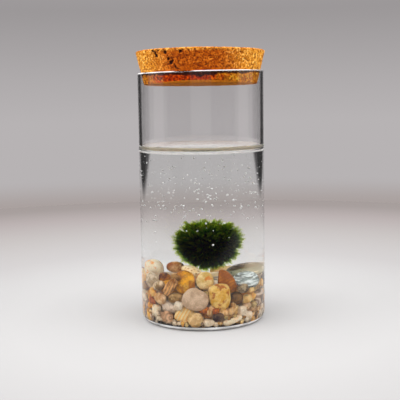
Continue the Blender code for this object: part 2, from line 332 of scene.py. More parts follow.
# Beside them, above the water line, dark flags draw the glass's edges
FLAG_REACH = 0.13
FLAG_START = -0.068, -0.062
FLAG_END = 0.03, 0.07
# The side behind the camera is darker near the horizon, so the glass mirrors little of it
FRONT_WALL = 0.45
FRONT_WALL_TOP = 0.22, 0.10
FRONT_WALL_SIDES = -0.60, -0.80
# The soft boxes light only what is above the horizon
BOXES_START = 0.08, 0.26


def light_scene():
    """Grey backdrops on four sides, the front one darker, dim corners between, soft boxes above."""
    world = bpy.data.worlds.new("studio")
    world.use_nodes = True
    bpy.context.scene.world = world
    nodes = Nodes(world.node_tree)
    direction = nodes.add("TexCoord").outputs["Generated"]
    x, y, z = nodes.split(direction)
    low, high = BACKDROP[0][0], BACKDROP[-1][0]
    share = nodes.math("DIVIDE", nodes.minus(z, low), high - low)
    wall = nodes.ramp(share, [((at - low) / (high - low), colour) for at, colour in BACKDROP])
    facing = nodes.times(nodes.step(y, *FRONT_WALL_SIDES), nodes.step(z, *FRONT_WALL_TOP))
    wall = nodes.mix(facing, wall, nodes.scaled(wall, FRONT_WALL))
    across = nodes.math("ABSOLUTE", nodes.times(x, y))
    level = nodes.minus(1.0, nodes.times(z, z))
    fall = nodes.times(nodes.math("MAXIMUM", nodes.minus(NARROWS_BELOW, z), 0.0), CORNER_NARROWS)
    flag = nodes.times(nodes.step(z, *FLAG_START), FLAG_REACH)
    corner = nodes.minus(nodes.math("DIVIDE", across, level), fall)
    corner = nodes.step(nodes.plus(corner, flag), CORNER_START, CORNER_END)
    near = nodes.minus(1.0, nodes.step(z, *FLAG_END))
    dim = nodes.times(corner, near)
    colour = nodes.mix(dim, wall, nodes.scaled(wall, DIM_ROOM))
    lift = nodes.step(z, *BOXES_START)
    for towards, sharpness, strength in SOFT_BOXES:
        towards = Vector(towards).normalized()
        facing = nodes.add("VectorMath", {0: direction, 1: towards}, operation="DOT_PRODUCT")
        off_axis = nodes.minus(facing.outputs["Value"], 1.0)
        glow = nodes.math("EXPONENT", nodes.times(off_axis, sharpness))
        glow = nodes.times(nodes.times(glow, strength), lift)
        colour = nodes.mix(1.0, colour, glow, "ADD")
    background = world.node_tree.nodes["Background"]
    nodes.put(background.inputs["Color"], colour)


FLOOR_RADIUS = 490.0 * MM
FLOOR_HEIGHT = -0.1 * MM
FLOOR_SIDES = 128
# The floor's colour by distance from the jar's axis, a painted pool of light that falls off to grey,
# all of it times its brightness, and the painted shade that darkens it softly before the camera,
# where it would only be mirrored by the glass
FLOOR_PAINTED_LIGHT = [
    (0.0, (0.92, 0.91, 0.91)),
    (0.10, (0.87, 0.86, 0.86)),
    (0.14, (0.80, 0.79, 0.79)),
    (0.19, (0.70, 0.68, 0.68)),
    (0.285, (0.60, 0.57, 0.56)),
    (0.376, (0.50, 0.45, 0.445)),
    (0.45, (0.39, 0.35, 0.34)),
    (0.50, (0.38, 0.34, 0.33)),
]
FLOOR_BRIGHTNESS = 0.41
FRONT_SHADE_START, FRONT_SHADE_END = -0.13, -0.23
FRONT_PAINTED_SHADE = 0.13
FRONT_SHADE_FADES = (0.34, 0.49)


def lay_floor():
    """A round pale table top with painted light falling off to grey, and painted shade before the
    camera.
    """
    surface, nodes, look = new_material("floor")
    start = nodes.add("TexCoord").outputs["Object"]
    away = nodes.add("VectorMath", {0: start}, operation="LENGTH").outputs["Value"]
    reach = FLOOR_PAINTED_LIGHT[-1][0]
    stops = [(at / reach, np.array(colour) * FLOOR_BRIGHTNESS) for at, colour in FLOOR_PAINTED_LIGHT]
    # Painted light: paler near the jar, falling off to grey towards the edge
    pale = nodes.ramp(nodes.math("DIVIDE", away, reach), stops)
    # Painted shade before the camera, fading out towards the floor's edge
    behind = nodes.step(nodes.split(start)[1], FRONT_SHADE_END, FRONT_SHADE_START)
    far = nodes.times(nodes.step(away, *FRONT_SHADE_FADES), FRONT_WALL)
    light = nodes.math("MAXIMUM", behind, far)
    dark = nodes.scaled(pale, FRONT_PAINTED_SHADE)
    look("Base Color", nodes.mix(light, dark, pale))
    look("Roughness", 0.75)
    look("Specular IOR Level", 0.0)
    disc = bmesh.new()
    bmesh.ops.create_circle(disc, cap_ends=True, segments=FLOOR_SIDES, radius=FLOOR_RADIUS)
    mesh = bpy.data.meshes.new("floor")
    disc.to_mesh(mesh)
    disc.free()
    mesh.materials.append(surface)
    made = new_object("floor", mesh)
    made.location.z = FLOOR_HEIGHT


def inner_corner():
    """The rounded corner between the jar's floor and its wall, from the floor up."""
    centre = (INSIDE_RADIUS - INNER_FILLET, BASE_THICKNESS + INNER_FILLET)
    return arc(centre, INNER_FILLET, -90, 0, 10)


def build_jar():
    """A straight cylinder with a rounded heel and a fire-polished rim, lower at the left.

    Where it is wet its inside is left to the water's own side, so that light meets one surface there.
    """
    heel = arc((JAR_RADIUS - HEEL_RADIUS, HEEL_RADIUS), HEEL_RADIUS, -90, 0, 14)
    lip = arc((JAR_RADIUS - WALL / 2, JAR_HEIGHT - WALL / 2), WALL / 2, 0, 180, 12)
    contact = [(INSIDE_RADIUS, WATER_LEVEL + MENISCUS_HEIGHT)]
    outline = [(0.0, 0.0)] + heel + lip + contact + inner_corner()[::-1] + [(0.0, BASE_THICKNESS)]
    verts, faces = turned(supported(outline), JAR_SIDES)
    away = from_axis(verts)
    inside = (away < INSIDE_RADIUS + NEAR) & (verts[:, 2] > BASE_THICKNESS - NEAR)
    wet = inside & (verts[:, 2] < contact[0][1] + NEAR)
    faces = [face for face in faces if not all(wet[v] for v in face)]
    share = np.clip((verts[:, 2] - SLANT_START) / (JAR_HEIGHT - SLANT_START), 0.0, None)
    verts[:, 2] += share * verts[:, 0] * math.tan(RIM_SLANT)

    kept = sorted({v for face in faces for v in face})
    number = {v: i for i, v in enumerate(kept)}
    faces = [tuple(number[v] for v in face) for face in faces]
    verts = verts[kept]
    lip_start = JAR_HEIGHT - RIM_HIGHLIGHT_DEPTH
    on_lip = verts[:, 2] - verts[:, 0] * math.tan(RIM_SLANT) > lip_start
    on_foot = (verts[:, 2] < HEEL_TOP) & (from_axis(verts) > INSIDE_RADIUS - 2 * WALL)
    slots = face_slots(faces, on_lip, on_foot)
    surfaces = [clear_glass(), rim_glass(), foot_glass()]
    add_piece("jar", verts, faces, surfaces, "clear_glass", ["glass_jar"], slots=slots)


def upright_streaks(nodes):
    """The faint streaks of glass that was drawn upwards, as a bump."""
    streaks = nodes.noise(nodes.place(stretch=(1.0, 1.0, 0.06)), 130.0, 2.0)
    return nodes.bump(streaks, 0.05 * MM, 0.5)


def clear_glass():
    """Clear glass with faint streaks, wiped not quite clean."""
    surface, nodes, look = new_material("clear_glass")
    look("Base Color", (0.99, 0.985, 0.985))
    look("Transmission Weight", 1.0)
    look("IOR", GLASS_IOR)
    look("Normal", upright_streaks(nodes))
    wiped = nodes.step(nodes.noise(nodes.place(), 60.0, 4.0), 0.45, 0.8)
    look("Roughness", nodes.times(wiped, 0.02))
    return surface


def rim_glass():
    """The rim's top edge, white and mostly diffuse in places, which shows as a painted highlight."""
    surface, nodes, look = new_material("rim_glass")
    look("Base Color", (0.97, 0.97, 0.96))
    look("IOR", GLASS_IOR)
    patch = nodes.step(nodes.noise(nodes.place(), 55.0, 1.0), 0.40, 0.58)
    look("Transmission Weight", nodes.minus(1.0, nodes.times(patch, 0.75)))
    look("Roughness", nodes.plus(0.08, nodes.times(patch, 0.3)))
    return surface


def foot_glass():
    """The heel that the jar stands on, white and satin, clearer in places: a painted reflection of
    the floor.
    """
    surface, nodes, look = new_material("foot_glass")
    ring = nodes.noise(nodes.place(stretch=(1.0, 1.0, 0.0)), 70.0, 2.0)
    pale = nodes.step(ring, 0.40, 0.60)
    look("Base Color", nodes.mix(pale, (0.93, 0.92, 0.90), (0.97, 0.97, 0.96)))
    look("Transmission Weight", nodes.minus(0.55, nodes.times(pale, 0.40)))
    look("IOR", GLASS_IOR)
    look("Roughness", nodes.plus(0.35, nodes.times(ring, 0.3)))
    return surface


def build_water():
    """Water from the jar's floor up to a surface that climbs the glass at its rim."""
    climb = MENISCUS_HEIGHT * np.linspace(1.0, 0.0, 40)[:-1] ** 1.5
    edge = [(INSIDE_RADIUS - meniscus(rise), WATER_LEVEL + rise) for rise in climb]
    flat = [(r * edge[-1][0], WATER_LEVEL) for r in (0.8, 0.6, 0.4, 0.2)]
    bottom = [(0.0, BASE_THICKNESS)]
    # Where the painted highlight line lies against the glass
    line = [(INSIDE_RADIUS, WATER_LEVEL + height) for height in PAINTED_LINE_SPAN]
    outline = supported(bottom + inner_corner() + line + edge + flat + [(0.0, WATER_LEVEL)])
    verts, faces = turned(outline, JAR_SIDES)
    away = from_axis(verts)
    rise = verts[:, 2] - WATER_LEVEL
    at_wall = away > INSIDE_RADIUS - NEAR
    against = at_wall | (rise < -NEAR)
    climbs = (rise > EDGE_START) & ~at_wall
    in_painted_line = at_wall & (rise > PAINTED_LINE_SPAN[0] - NEAR) & (rise < PAINTED_LINE_SPAN[1] + NEAR)
    slots = face_slots(faces, against, climbs | in_painted_line)
    surfaces = [water_surface(), water_on_glass(), water_edge_painted_light(), water_line_painted_highlight()]
    add_piece("jar_water", verts, faces, surfaces, "water", ["water"], slots=slots, sharp_angle=20.0)


def water_surface():
    """Clear water under air."""
    surface, nodes, look = new_material("water")
    look("Base Color", (0.99, 1.0, 0.995))
    look("Transmission Weight", 1.0)
    look("IOR", WATER_IOR)
    look("Roughness", 0.0)
    ripple = nodes.noise(nodes.place(), 40.0, 1.0)
    look("Normal", nodes.bump(ripple, 0.02 * MM, 0.5))
    return surface


def water_edge_painted_light():
    """The thin edge that climbs the glass: cream painted light, olive in front as a painted moss
    reflection.
    """
    surface, nodes, look = new_material("water_edge_painted_light")
    x, y, z = nodes.split(nodes.place())
    cloud = nodes.noise(nodes.place(stretch=(1.0, 1.0, 3.0)), 160.0, 3.0)
    aside = nodes.plus(nodes.math("ABSOLUTE", x), nodes.times(cloud, 6.0 * MM))
    behind = nodes.step(y, -0.5 * INSIDE_RADIUS, 0.0)
    above = nodes.step(z, WATER_LEVEL + MOSS_REFLECTION_TOP[0], WATER_LEVEL + MOSS_REFLECTION_TOP[1])
    # Share of the cream painted light: behind, above the olive and beyond its ends
    cream = nodes.math("MAXIMUM", behind, above)
    cream = nodes.math("MAXIMUM", nodes.step(aside, *MOSS_REFLECTION_ENDS), cream)
    # Painted light: cream in front, whiter behind
    pale = nodes.mix(behind, (0.95, 0.86, 0.68), (0.96, 0.95, 0.93))
    look("Base Color", nodes.mix(cream, (0.14, 0.12, 0.02), pale))
    clear = nodes.minus(0.45, nodes.times(cream, 0.20))
    look("Transmission Weight", clear)
    look("IOR", WATER_IOR)
    look("Roughness", nodes.times(cloud, 0.3))
    return surface


def water_line_painted_highlight():
    """A painted highlight: the bright line that shows through the glass just under the water's edge.
    """
    surface, nodes, look = new_material("water_line_painted_highlight")
    ring = nodes.noise(nodes.place(stretch=(1.0, 1.0, 0.0)), 60.0, 2.0)
    look("Base Color", nodes.mix(ring, (0.94, 0.92, 0.88), (0.99, 0.98, 0.97)))
    look("Transmission Weight", nodes.times(ring, 0.25))
    look("IOR", 1.02)
    look("Roughness", nodes.times(ring, 0.6))
    return surface


def water_on_glass():
    """Clear water against glass, which bends light by the ratio of the two."""
    surface, nodes, _ = new_material("water_on_glass")
    nodes.tree.nodes.remove(nodes.tree.nodes["Principled BSDF"])
    glass = nodes.add("BsdfGlass", {"Color": (0.99, 1.0, 0.995), "IOR": WATER_IOR / GLASS_IOR})
    nodes.put(glass.inputs["Normal"], upright_streaks(nodes))
    nodes.put(nodes.tree.nodes["Material Output"].inputs["Surface"], glass.outputs[0])
    return surface


def meniscus(rise):
    """How far from the glass the water's curved edge stands at a rise above its level."""
    def across(height):
        double = 2 * CAPILLARY_LENGTH
        return CAPILLARY_LENGTH * math.acosh(double / height) - math.sqrt(double ** 2 - height ** 2)

    return across(rise) - across(MENISCUS_HEIGHT)


def dense(outline, step):
    """The outline with points added so that none is further than a step from the next."""
    made = [outline[0]]
    for start, end in zip(outline, outline[1:]):
        count = max(1, math.ceil(math.dist(start, end) / step))
        for i in range(1, count + 1):
            made.append(tuple(a + (b - a) * i / count for a, b in zip(start, end)))
    return made


# Pits in the cork: azimuth, height above its underside in mm, radius in mm
CORK_PITS = [
    (-45, 16.1, 0.8), (-42.5, 15.0, 0.7), (-41.5, 13.7, 0.9), (-38.5, 16.1, 0.6), (-33, 16.0, 0.5),
    (-31.5, 14.9, 0.9), (-29, 11.9, 0.8), (-27.5, 9.8, 0.9), (-25, 10.8, 0.7), (-23, 8.0, 0.7),
    (-24, 9.1, 0.5), (-21, 7.0, 0.5), (-19, 16.1, 0.4), (-17, 15.0, 0.8), (-14.5, 16.0, 0.5),
    (9, 11.9, 0.5), (14, 11.8, 0.4), (5, 8.6, 0.4), (21, 9.6, 0.4), (66, 15.2, 0.6), (40, 9.8, 0.3),
]
# The depth of the largest pit and its radius, where a pit's ragged edge ends as a share of its
# radius, and the small stray pits: their number, the share of them on top, their radii in mm
CORK_PIT_DEPTH = 1.0 * MM
LARGEST_PIT = 0.9 * MM
PIT_EDGE = 1.35
PIT_RAGGED = 0.5
STRAY_PITS = 130
STRAY_ON_TOP = 0.4
STRAY_SIZES = 0.15, 0.5
# The granules' size and number, and how the surface dips, in mm: in the grooves between them,
# by granule, and in broad waves
GRANULE = 1.7 * MM
GRANULES = 5200
GRANULE_SEED = 5
GROOVE = 0.4 * MM
GROOVE_DEPTH, GRANULE_DEPTH, WAVE_DEPTH = 0.10, 0.09, 0.14
WAVE_LENGTH = 6 * MM


def cork_place(azimuth, height):
    """A point on the cork's side, in the cork's own upright frame."""
    angle = math.radians(azimuth)
    share = height / CORK_THICKNESS
    radius = CORK_BOTTOM_RADIUS + (CORK_TOP_RADIUS - CORK_BOTTOM_RADIUS) * share
    return radius * math.sin(angle), -radius * math.cos(angle), height - CORK_THICKNESS / 2


def build_cork():
    """A stopper of pressed granules, with grooves between them, and with pits."""
    half = CORK_THICKNESS / 2
    outline = [(0.0, -half)]
    outline += arc((CORK_BOTTOM_RADIUS - CORK_EDGE, CORK_EDGE - half), CORK_EDGE, -90, -6, 4)
    outline += arc((CORK_TOP_RADIUS - CORK_EDGE, half - CORK_EDGE), CORK_EDGE, -6, 90, 5)
    outline.append((0.0, half))
    verts, faces = turned(dense(outline, CORK_STEP), CORK_SIDES)
    cork = make_object("cork", verts, faces, [cork_material()], sharp_angle=180.0)
    normals = np.array([v.normal[:] for v in cork.data.vertices])

    chance = np.random.default_rng(GRANULE_SEED)
    shell = chance.uniform(-1.0, 1.0, (6 * GRANULES, 3)) * (CORK_TOP_RADIUS, CORK_TOP_RADIUS, half)
    away = from_axis(shell)
    thin = (np.abs(shell[:, 2]) > half - 2 * GRANULE) | (away > CORK_BOTTOM_RADIUS - 2 * GRANULE)
    shell = shell[thin & (away < CORK_TOP_RADIUS + GRANULE)][:GRANULES]
    tree = KDTree(len(shell))
    for i, point in enumerate(shell):
        tree.insert(point, i)
    tree.balance()
    rise = chance.uniform(0.0, 1.0, len(shell))
    depth = np.zeros(len(verts))
    for i, point in enumerate(verts):
        (_, first, near), (_, _, next_near) = tree.find_n(point, 2)
        groove = max(0.0, 1.0 - (next_near - near) / GROOVE)
        wave = 0.5 + 0.5 * noise.noise(Vector(point) / WAVE_LENGTH)
        depth[i] = (GROOVE_DEPTH * groove + GRANULE_DEPTH * rise[first] + WAVE_DEPTH * wave) * MM
    depth += cork_pits(verts, chance)
    moved = verts - normals * depth[:, None]
    turn = Matrix.Rotation(-CORK_TILT, 3, "X")
    moved = moved @ np.array(turn).T + (0.0, -half * math.sin(CORK_TILT), CORK_TOP_HEIGHT - half)
    cork.data.vertices.foreach_set("co", moved.ravel())
    set_values(cork, "pit", depth / CORK_PIT_DEPTH)
    cork.data.update()
    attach(cork, "root")
    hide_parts("cork_stopper")


def cork_pits(verts, chance):
    """How deep each point lies in a pit."""
    half = CORK_THICKNESS / 2
    pits = [(cork_place(azimuth, height * MM), size * MM) for azimuth, height, size in CORK_PITS]
    for _ in range(STRAY_PITS):
        azimuth, height = chance.uniform(0, 360), chance.uniform(0.05, 0.98) * CORK_THICKNESS
        place = cork_place(azimuth, height)
        if chance.uniform() < STRAY_ON_TOP:
            reach = CORK_BOTTOM_RADIUS * math.sqrt(chance.uniform())
            place = (reach * math.sin(azimuth), reach * math.cos(azimuth), half)
        pits.append((place, chance.uniform(*STRAY_SIZES) * MM))
    depth = np.zeros(len(verts))
    ragged = np.array([noise.noise(Vector(p) / (0.8 * MM)) for p in verts])
    for place, size in pits:
        away = np.linalg.norm(verts - place, axis=1) / size + PIT_RAGGED * ragged
        share = np.clip(PIT_EDGE - away, 0.0, 1.0)
        depth = np.maximum(depth, share * CORK_PIT_DEPTH * size / LARGEST_PIT)
    return depth


# The cork inside the jar: darker and redder about a middle, paler at the sides with painted light
# that makes up for the light that the glass keeps from it, and with a painted shadow just under
# the rim: its least height, how much more it has in the middle, and how far that goes
RED_MIDDLE = -6.0 * MM
RED_START, RED_END = 10.0 * MM, 23.0 * MM
RED_TONE, INSIDE_PAINTED_LIGHT = (1.75, 0.72, 0.10), (1.7, 1.6, 0.6)
RIM_SHADOW_LEAST = 1.5 * MM
RIM_SHADOW_MORE = 1.2 * MM
RIM_SHADOW_REACH = 15.0 * MM
# Above the rim its front has painted shade in the middle and painted light at the sides, and its back
# and top have one tone
SHADED_MIDDLE = -2.0 * MM
MIDDLE_SHADE_START, MIDDLE_SHADE_END = 9.0 * MM, 30.0 * MM
ABOVE_PAINTED_SHADE, ABOVE_PAINTED_LIGHT, OTHER_TONE = (0.86, 0.50, 0.20), (1.50, 1.80, 2.4), (1.15, 1.20, 1.5)
FRONT_TONED = 2.0 * MM, -10.0 * MM
TOP_TONED = CORK_TOP_HEIGHT - 0.2 * MM, CORK_TOP_HEIGHT - 1.4 * MM
# The paler band round its foot, highest in the middle
FOOT_BAND = 2.2 * MM


def cork_granules(nodes, place):
    """The colour of light and dark granules, how light they are, and a number for each crumb."""
    warp = nodes.add("TexNoise", {"Vector": place, "Scale": 1500.0, "Detail": 2.0}).outputs[1]
    bent = nodes.mix(0.0004, place, warp, "ADD")
    granule = nodes.split(nodes.cells(bent, 820.0)["Color"])[0]
    crumb = nodes.split(nodes.cells(bent, 1700.0)["Color"])[1]
    shade = nodes.plus(nodes.times(granule, 0.5), nodes.times(crumb, 0.5))
    colour = nodes.ramp(shade, [
        (0.0, (0.09, 0.017, 0.002)),
        (0.22, (0.30, 0.078, 0.004)),
        (0.5, (0.50, 0.162, 0.008)),
        (0.78, (0.70, 0.28, 0.032)),
        (1.0, (0.86, 0.46, 0.11)),
    ])
    dark = nodes.step(nodes.noise(bent, 1300.0, 2.0), 0.565, 0.625)
    colour = nodes.mix(nodes.times(dark, 0.8), colour, (0.085, 0.020, 0.005))
    return colour, shade, crumb


def cork_in_jar(nodes, colour, x, ragged):
    """The cork's colour inside the jar: darker and redder about a middle, painted light at the sides.
    """
    side = nodes.math("ABSOLUTE", nodes.minus(x, RED_MIDDLE))
    side = nodes.plus(side, nodes.times(ragged, 8.0))
    painted_light_sides = nodes.mix(1.0, colour, INSIDE_PAINTED_LIGHT, "MULTIPLY", clamp=True)
    deeper = nodes.add("Gamma", {0: colour, 1: 1.5}).outputs[0]
    red_middle = nodes.mix(1.0, deeper, RED_TONE, "MULTIPLY")
    return nodes.mix(nodes.step(side, RED_END, RED_START), painted_light_sides, red_middle)


def cork_above_jar(nodes, colour, x, y, z, ragged):
    """The cork's colour above the rim: painted shade in the middle of its front, painted light at its
    sides.
    """
    side = nodes.math("ABSOLUTE", nodes.minus(x, SHADED_MIDDLE))
    side = nodes.plus(side, nodes.times(ragged, 3.0))
    tone = nodes.mix(nodes.step(side, MIDDLE_SHADE_END, MIDDLE_SHADE_START), ABOVE_PAINTED_LIGHT, ABOVE_PAINTED_SHADE)
    front = nodes.times(nodes.step(y, *FRONT_TONED), nodes.step(z, *TOP_TONED))
    tone = nodes.mix(front, OTHER_TONE, tone)
    return nodes.mix(1.0, colour, tone, "MULTIPLY", clamp=True)


def cork_material():
    """Pressed granules of light and dark cork, with painted light and shade by where they are."""
    surface, nodes, look = new_material("cork")
    place = nodes.place()
    colour, shade, crumb = cork_granules(nodes, place)
    x, y, z = nodes.split(place)
    rim = nodes.plus(nodes.times(x, math.tan(RIM_SLANT)), JAR_HEIGHT)
    ragged = nodes.times(nodes.minus(nodes.noise(place, 420.0, 2.0), 0.5), 2.4 * MM)
    below = nodes.plus(nodes.minus(rim, z), ragged)
    above = cork_above_jar(nodes, colour, x, y, z, ragged)
    within = cork_in_jar(nodes, colour, x, ragged)
    colour = nodes.mix(nodes.step(below, -0.5 * MM, 0.5 * MM), above, within)

    # A painted shadow just under the rim, nearly black, tallest in the middle
    middle = nodes.step(nodes.math("ABSOLUTE", x), RIM_SHADOW_REACH, 0.0)
    height = nodes.plus(nodes.times(middle, RIM_SHADOW_MORE), RIM_SHADOW_LEAST)
    past = nodes.math("DIVIDE", below, height)
    line = nodes.times(nodes.step(past, 0.0, 0.25), nodes.step(past, 1.25, 0.8))
    colour = nodes.mix(nodes.times(line, 0.93), colour, (0.020, 0.008, 0.004))
    slope = nodes.times(nodes.times(x, x), -FOOT_BAND / CORK_BOTTOM_RADIUS ** 2)
    edge = nodes.plus(slope, CORK_TOP_HEIGHT - CORK_THICKNESS + FOOT_BAND)
    foot = nodes.step(nodes.minus(edge, z), -0.1 * MM, 0.1 * MM)
    band = nodes.mix(crumb, (0.66, 0.19, 0.006), (0.82, 0.30, 0.02))
    colour = nodes.mix(nodes.times(foot, 0.9), colour, band)
    # Painted shade in the pits: the deeper a point lies, the nearer its colour to black
    pit = nodes.attribute("pit")
    colour = nodes.mix(nodes.step(pit, 0.30, 0.62), colour, (0.030, 0.006, 0.002))
    look("Base Color", colour)
    look("Roughness", nodes.plus(0.72, nodes.times(crumb, 0.25)))
    look("Specular IOR Level", 0.1)
    look("Normal", nodes.bump(shade, 0.12 * MM, 0.8))
    return surface


# The moss ball: a felted core, short strands all over it and tufts of long thin hairs. Each kind
# has its number of tufts, strands in a tuft, spread at the roots and at the tips, shares of the
# ball's radius that it reaches, and radius of a strand. Painted light from above lies on it
# between two shares of its height
MOSS_CORE = 0.66
SHORT_STRANDS = (1100, 6, 0.07, 0.07, (0.72, 0.88), 0.090 * MM)
LONG_HAIRS = (700, 14, 0.08, 0.032, (0.86, 1.07), 0.086 * MM)
MOSS_SEED = 3
MOSS_PAINTED_LIGHT = 0.55, 0.95
# How far a tuft is off its even place and leans. Of a strand: its joints, how deep in the core it
# starts, how much shorter than its tuft it may be, its thickness, its taper and its curl
TUFT_JITTER, TUFT_LEAN = 0.04, 0.05
STRAND_JOINTS = 4
STRAND_START = 0.94 * MOSS_CORE
STRAND_LENGTH = 0.94, 1.0
STRAND_THICKNESS = 0.7, 1.3
STRAND_TAPER = 0.65
STRAND_CURL = 0.22 * MM


def moss_surface():
    """The CAD ball's centre, and a function that gives its radius along directions."""
    low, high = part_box("moss_ball")
    centre = (low + high) / 2
    widest = (high.x - low.x) / 2
    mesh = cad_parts["moss_ball"].data
    tree = BVHTree.FromPolygons([v.co for v in mesh.vertices], [p.vertices[:] for p in mesh.polygons])

    def radius(directions):
        return np.array([tree.ray_cast(centre, Vector(d))[3] or widest for d in directions])

    return np.array(centre), radius


def unit(vectors):
    return vectors / np.linalg.norm(vectors, axis=-1, keepdims=True)


def even_directions(count, chance, jitter):
    """Directions spread evenly over a ball, each a little off its place."""
    i = np.arange(count) + 0.5
    z = 1.0 - 2.0 * i / count
    angle = math.pi * (1.0 + math.sqrt(5.0)) * i
    flat = np.sqrt(1.0 - z * z)
    made = np.stack([flat * np.cos(angle), flat * np.sin(angle), z], axis=1)
    return unit(made + chance.normal(0.0, jitter, made.shape))


def grow(kind, radius, chance):
    """Strands that taper to their tips: points, faces, the share along each and a tint of each."""
    tufts, per_tuft, root_spread, tip_spread, reaches, thickness = kind
    tuft = even_directions(tufts, chance, TUFT_JITTER)
    lean = chance.normal(0.0, TUFT_LEAN, tuft.shape)
    height = chance.uniform(*reaches, tufts)
    which = np.repeat(np.arange(tufts), per_tuft)
    count = len(which)
    root = unit(tuft[which] + chance.normal(0.0, root_spread, (count, 3)))
    tip = unit(tuft[which] + lean[which] + chance.normal(0.0, tip_spread, (count, 3)))
    reach = radius(tip)
    start = root * (reach * STRAND_START)[:, None]
    end = tip * (reach * height[which] * chance.uniform(*STRAND_LENGTH, count))[:, None]
    curl = chance.normal(0.0, STRAND_CURL, (count, 3))
    across = unit(np.cross(end - start, chance.normal(0.0, 1.0, (count, 3))))
    beside = unit(np.cross(end - start, across))
    thick = thickness * chance.uniform(*STRAND_THICKNESS, count)

    verts, along = [], []
    for j in range(STRAND_JOINTS):
        t = j / (STRAND_JOINTS - 1)
        middle = start + (end - start) * t + curl * (t * (1.6 - t))
        ring = (thick * (1.0 - STRAND_TAPER * t ** 2))[:, None]
        for k in range(3):
            turn = 2 * math.pi * k / 3
            verts.append(middle + ring * (across * math.cos(turn) + beside * math.sin(turn)))
            along.append(np.full(count, t))
    pattern = [(2, 1, 0)]
    for j in range(STRAND_JOINTS - 1):
        for k in range(3):
            a, b = 3 * j + k, 3 * j + (k + 1) % 3
            pattern.append((a, b, b + 3, a + 3))
    step = 3 * STRAND_JOINTS
    pattern.append((step - 3, step - 2, step - 1))
    faces = [tuple(i * step + v for v in face) for i in range(count) for face in pattern]
    tint = np.repeat(chance.uniform(0.0, 1.0, count), step)
    return np.stack(verts, axis=1).reshape(-1, 3), faces, np.stack(along, axis=1).ravel(), tint


def build_moss():
    """A dark felted core with short strands, and long hairs that stand out from it."""
    centre, radius = moss_surface()
    chance = np.random.default_rng(MOSS_SEED)
    verts, faces, along, tint = grow(SHORT_STRANDS, radius, chance)
    core, core_faces = unit_ball(5)
    core_points = core * (radius(core) * MOSS_CORE)[:, None]
    faces += [tuple(len(verts) + v for v in face) for face in core_faces]
    verts = np.concatenate([verts, core_points]) + centre
    along = np.concatenate([along, np.zeros(len(core))])
    tint = np.concatenate([tint, np.zeros(len(core))])
    felt = add_piece("moss", verts, faces, [moss_felt()], "moss", ["moss_ball"])
    set_values(felt, "along", along)
    set_values(felt, "tint", tint)
    verts, faces, along, tint = grow(LONG_HAIRS, radius, chance)
    hairs = add_piece("moss_hairs", verts + centre, faces, [moss_hair()], "moss")
    set_values(hairs, "along", along)
    set_values(hairs, "tint", tint)


def painted_light_share(nodes):
    """0 at the ball's middle and below, 1 at its top, where painted light from above lies on it."""
    low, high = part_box("moss_ball")
    start, end = [low.z + share * (high.z - low.z) for share in MOSS_PAINTED_LIGHT]
    return nodes.step(nodes.split(nodes.place())[2], start, end)


def moss_felt():
    """Nearly black green, with painted light on top."""
    surface, nodes, look = new_material("moss")
    along = nodes.attribute("along")
    tint = nodes.attribute("tint")
    shade = nodes.ramp(along, [
        (0.0, (0.0002, 0.0006, 0.0001)),
        (0.6, (0.0004, 0.0016, 0.0001)),
        (1.0, (0.001, 0.005, 0.0002)),
    ])
    painted_top = nodes.ramp(along, [
        (0.0, (0.0005, 0.004, 0.0002)),
        (0.5, (0.003, 0.034, 0.0003)),
        (1.0, (0.02, 0.16, 0.001)),
    ])
    patch = nodes.noise(nodes.place(), 300.0, 2.0)
    share = nodes.times(painted_light_share(nodes), nodes.plus(0.6, nodes.times(tint, 0.4)))
    share = nodes.times(share, nodes.step(patch, 0.25, 0.6))
    look("Base Color", nodes.mix(share, shade, painted_top))
    look("Roughness", nodes.minus(0.95, nodes.times(along, 0.2)))
    look("Specular IOR Level", 0.0)
    fuzz = nodes.noise(nodes.place(), 3000.0, 2.0)
    look("Normal", nodes.bump(fuzz, 0.05 * MM, 0.6))
    return surface


def moss_hair():
    """Thin hairs that light shines through: yellow-green at their tips, darker at their roots."""
    surface, nodes, look = new_material("moss_hair")
    along = nodes.attribute("along")
    tint = nodes.attribute("tint")
    green = nodes.ramp(along, [
        (0.0, (0.002, 0.03, 0.001)),
        (0.5, (0.010, 0.19, 0.001)),
        (1.0, (0.34, 0.60, 0.004)),
    ])
    gold = nodes.ramp(along, [
        (0.0, (0.003, 0.03, 0.001)),
        (0.5, (0.03, 0.22, 0.001)),
        (1.0, (0.80, 0.78, 0.03)),
    ])
    patch = nodes.noise(nodes.place(), 160.0, 2.0)
    share = nodes.plus(nodes.times(tint, 0.6), nodes.times(patch, 0.5))
    look("Base Color", nodes.mix(share, green, gold))
    clear = nodes.minus(0.985, nodes.times(painted_light_share(nodes), 0.22))
    look("Transmission Weight", clear)
    look("IOR", 1.01)
    look("Roughness", nodes.minus(0.5, nodes.times(along, 0.2)))
    look("Specular IOR Level", 0.0)
    return surface


def unit_ball(subdivisions):
    """Corners and triangles of an icosphere of radius 1."""
    work = bmesh.new()
    bmesh.ops.create_icosphere(work, subdivisions=subdivisions, radius=1.0)
    verts = np.array([v.co[:] for v in work.verts])
    faces = [tuple(v.index for v in face.verts) for face in work.faces]
    work.free()
    return verts, faces


